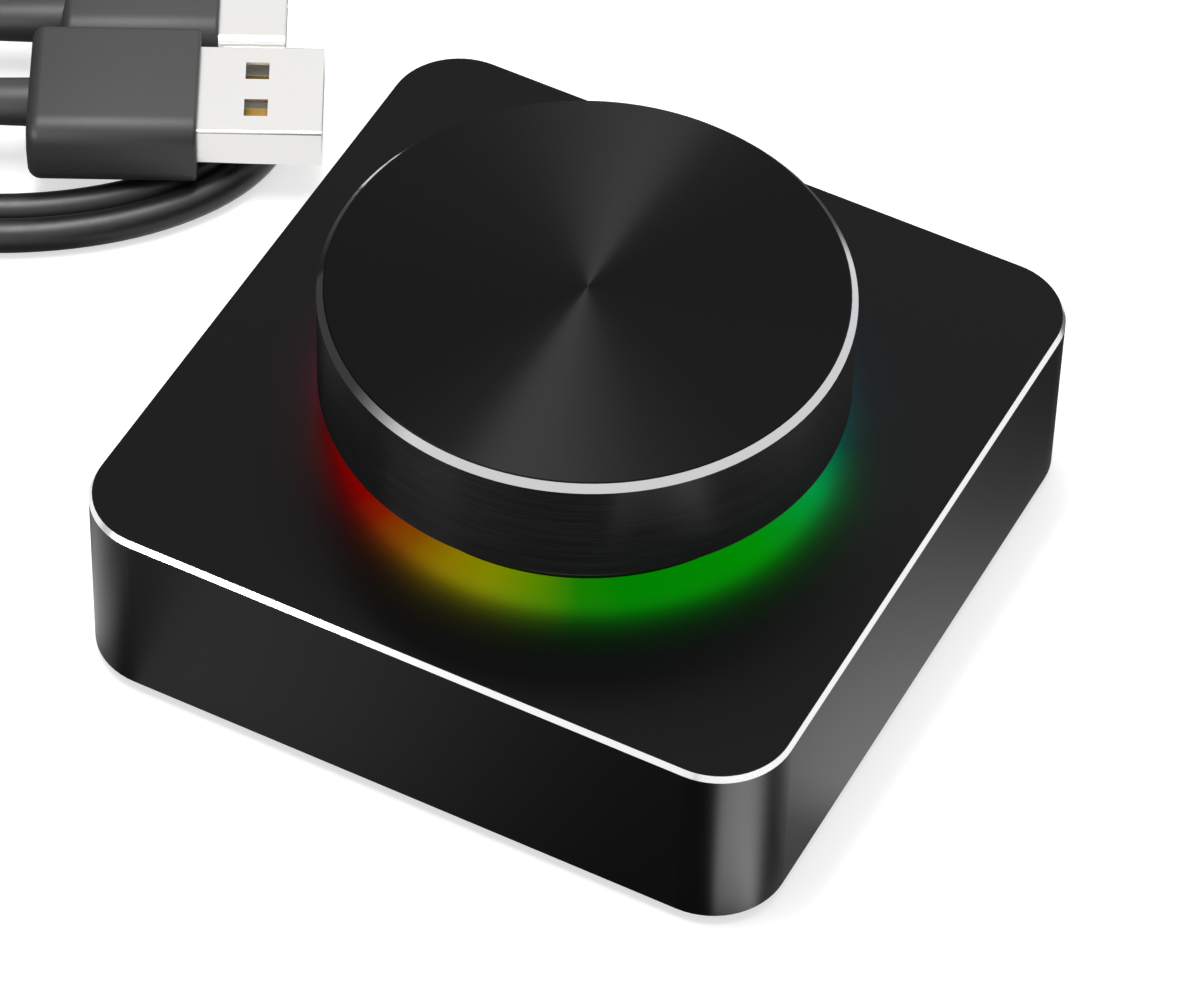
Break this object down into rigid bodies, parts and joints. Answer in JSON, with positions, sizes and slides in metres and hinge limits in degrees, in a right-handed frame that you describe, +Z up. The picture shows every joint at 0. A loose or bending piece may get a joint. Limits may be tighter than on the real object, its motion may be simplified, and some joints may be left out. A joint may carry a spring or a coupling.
{
  "type": "usb volume control knob",
  "caption": "Square desk knob that turns and presses to set volume, with a light ring, a USB-C port and a detached tied USB lead.",
  "frame": {"origin": "on the table under the middle of the square base, at the underside of its rubber feet", "axes": "+Z up along the knob's axis, +Y out of the side with the USB-C port, +X to the right of it seen from the front"},
  "size_m": [0.1813, 0.0815, 0.0355],
  "materials": {
    "black_anodised_case": "matte black anodised, diamond-cut bevel",
    "black_spun_knob": "black anodised, spun top, brushed side",
    "milky_diffuser": "milky acrylic",
    "black_cover_plastic": "fine moulded texture",
    "black_rubber": "matte rubber",
    "ballast_steel": "zinc plated",
    "screw_steel": "black zinc",
    "board_fr4": "solder mask",
    "led_package": "white package with clear window",
    "chip_epoxy": "moulded epoxy",
    "ceramic_chip": "ceramic with tinned ends",
    "capacitor_can": "drawn can",
    "port_steel": "nickel plated",
    "contact_gold": "gold plated",
    "encoder_plastic": "glass-filled plastic",
    "encoder_zinc": "die-cast zinc, plated",
    "spring_steel": "spring steel",
    "shaft_steel": "turned steel",
    "core_plastic": "moulded ABS",
    "rotor_plastic": "acetal",
    "cable_jacket": "satin PVC jacket",
    "plug_plastic": "satin moulded plug body",
    "plug_steel": "nickel plated",
    "tongue_plastic": "white moulded",
    "tie_coating": "plastic coated wire"
  },
  "bodies": {
    "root": {"case_shell": "black_anodised_case", "bottom_cover": "black_cover_plastic", "rubber_feet": "black_rubber", "ballast_plate": "ballast_steel", "cover_screws": "screw_steel", "board_screws": "screw_steel", "light_diffuser": "milky_diffuser", "main_board": "board_fr4", "rgb_leds": "led_package", "ceramic_capacitors": "ceramic_chip", "controller_chip": "chip_epoxy", "protection_chip": "chip_epoxy", "chip_resistors": "chip_epoxy", "bulk_capacitor": "capacitor_can", "usb_c_receptacle_shell": "port_steel", "usb_c_tongue": "chip_epoxy", "usb_c_contacts": "contact_gold", "encoder_base": "encoder_plastic", "encoder_housing": "encoder_zinc", "encoder_yoke": "port_steel", "encoder_terminals": "port_steel", "encoder_washer": "port_steel", "encoder_nut": "encoder_zinc", "detent_spring": "spring_steel", "switch_dome": "spring_steel", "cable_hank": "cable_jacket", "cable_end_c": "cable_jacket", "cable_end_a": "cable_jacket", "c_strain_relief": "plug_plastic", "c_plug_body": "plug_plastic", "c_plug_shell": "plug_steel", "a_strain_relief": "plug_plastic", "a_plug_body": "plug_plastic", "a_plug_shell": "plug_steel", "a_plug_tongue": "tongue_plastic", "a_plug_contacts": "contact_gold", "wire_tie": "tie_coating"},
    "rotor": {"encoder_rotor": "rotor_plastic", "contact_wiper": "contact_gold"},
    "knob": {"knob_cap": "black_spun_knob", "knob_core": "core_plastic", "hub_clip": "spring_steel", "encoder_shaft": "shaft_steel"}
  },
  "joints": [
    {"name": "knob_turn", "type": "hinge", "parent": "root", "child": "rotor", "pos_m": [0, 0, 0.0132], "axis": [0, 0, 1], "continuous": true},
    {"name": "knob_press", "type": "slide", "parent": "rotor", "child": "knob", "axis": [0, 0, -1], "range_m": [0, 0.0005], "stiffness_N_per_m": 8000, "springref_m": -0.00025, "deforming": ["switch_dome"]}
  ]
}
